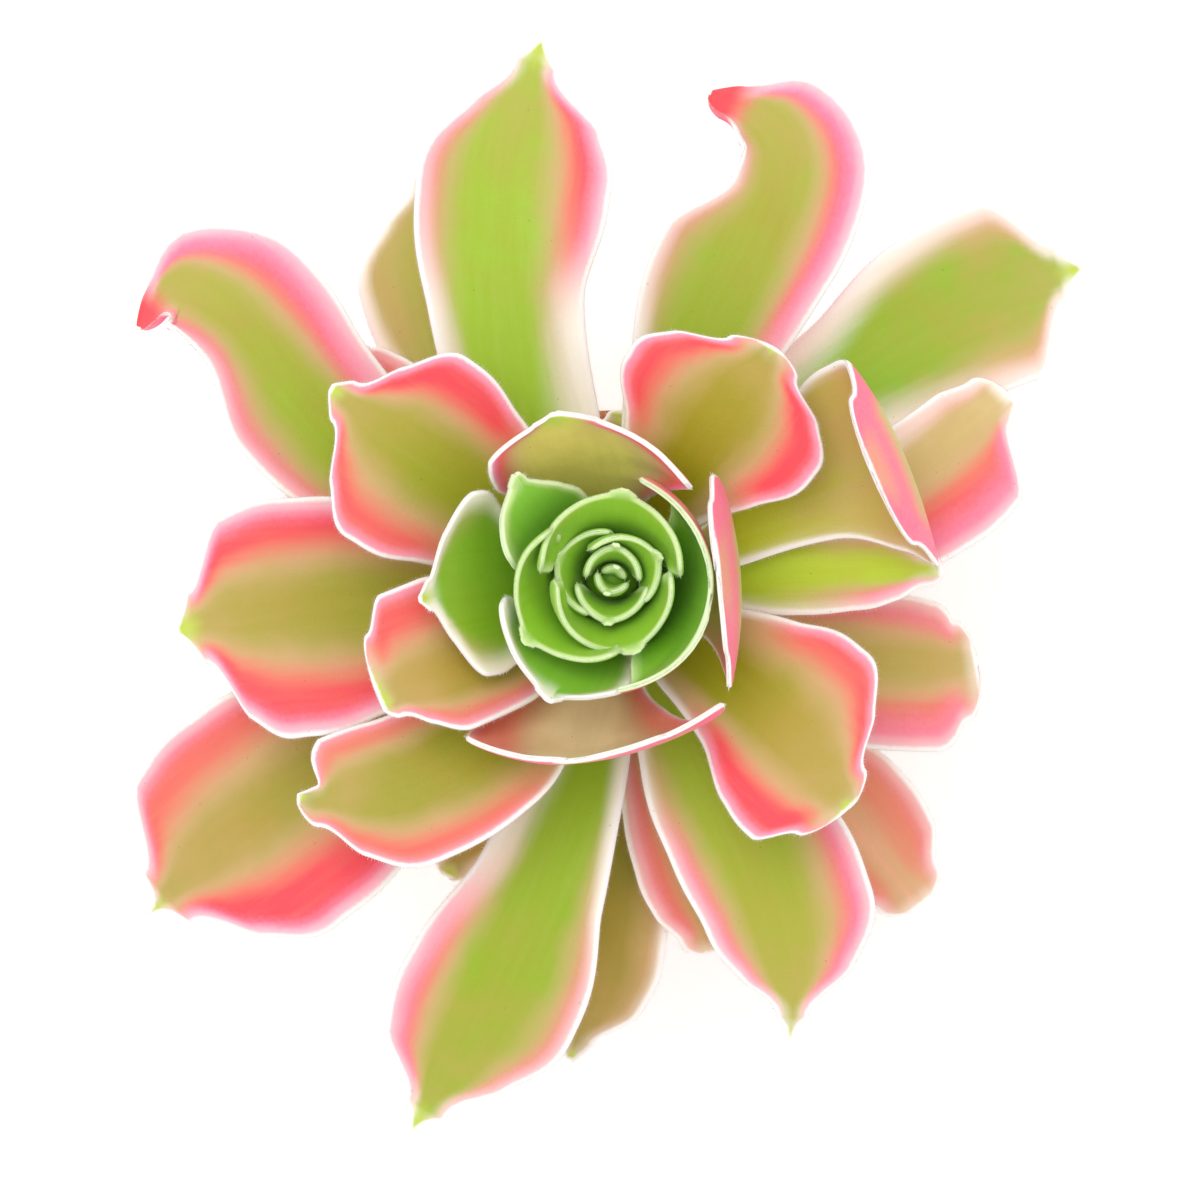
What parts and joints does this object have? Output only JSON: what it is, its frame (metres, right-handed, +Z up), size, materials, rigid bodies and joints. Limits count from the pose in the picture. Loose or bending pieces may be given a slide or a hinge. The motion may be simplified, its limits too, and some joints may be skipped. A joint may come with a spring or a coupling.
{
  "type": "potted aeonium",
  "caption": "Variegated rosette succulent with open, hooked and cupped leaves on a short bare stem, growing in a small clay pot.",
  "frame": {"origin": "on the ground under the middle of the pot, which is also under the middle of the rosette's outline", "axes": "+Z up along the pot's axis; +Y along the rosette's longer spread, which is up in the picture; +X to the picture's right"},
  "size_m": [0.1356, 0.155, 0.1082],
  "materials": {
    "leaf_outer": "satin",
    "leaf_inner": "satin",
    "stem_bark": "matte",
    "potting_soil": "matte",
    "terracotta": "matte"
  },
  "bodies": {
    "root": {"heart": "leaf_inner", "leaf_back_north_west": "leaf_outer", "leaf_back_south": "leaf_outer", "leaf_back_south_2": "leaf_outer", "leaf_back_south_east": "leaf_outer", "leaf_bud_east": "leaf_inner", "leaf_bud_north_west": "leaf_inner", "leaf_bud_south": "leaf_inner", "leaf_cup_east": "leaf_inner", "leaf_cup_north": "leaf_inner", "leaf_cup_south": "leaf_inner", "leaf_cup_west": "leaf_inner", "leaf_east": "leaf_outer", "leaf_east_upturned": "leaf_outer", "leaf_east_wide": "leaf_outer", "leaf_low_east": "leaf_outer", "leaf_low_north": "leaf_outer", "leaf_low_north_west": "leaf_outer", "leaf_low_south_west": "leaf_outer", "leaf_low_west": "leaf_outer", "leaf_north": "leaf_outer", "leaf_north_east": "leaf_outer", "leaf_north_east_hook": "leaf_outer", "leaf_north_east_inner": "leaf_outer", "leaf_north_west_hook": "leaf_outer", "leaf_north_west_inner": "leaf_outer", "leaf_south": "leaf_outer", "leaf_south_east": "leaf_outer", "leaf_south_east_inner": "leaf_outer", "leaf_south_west": "leaf_outer", "leaf_south_west_notched": "leaf_outer", "leaf_west": "leaf_outer", "leaf_west_small": "leaf_outer", "pot": "terracotta", "soil": "potting_soil", "stem": "stem_bark"}
  },
  "joints": []
}
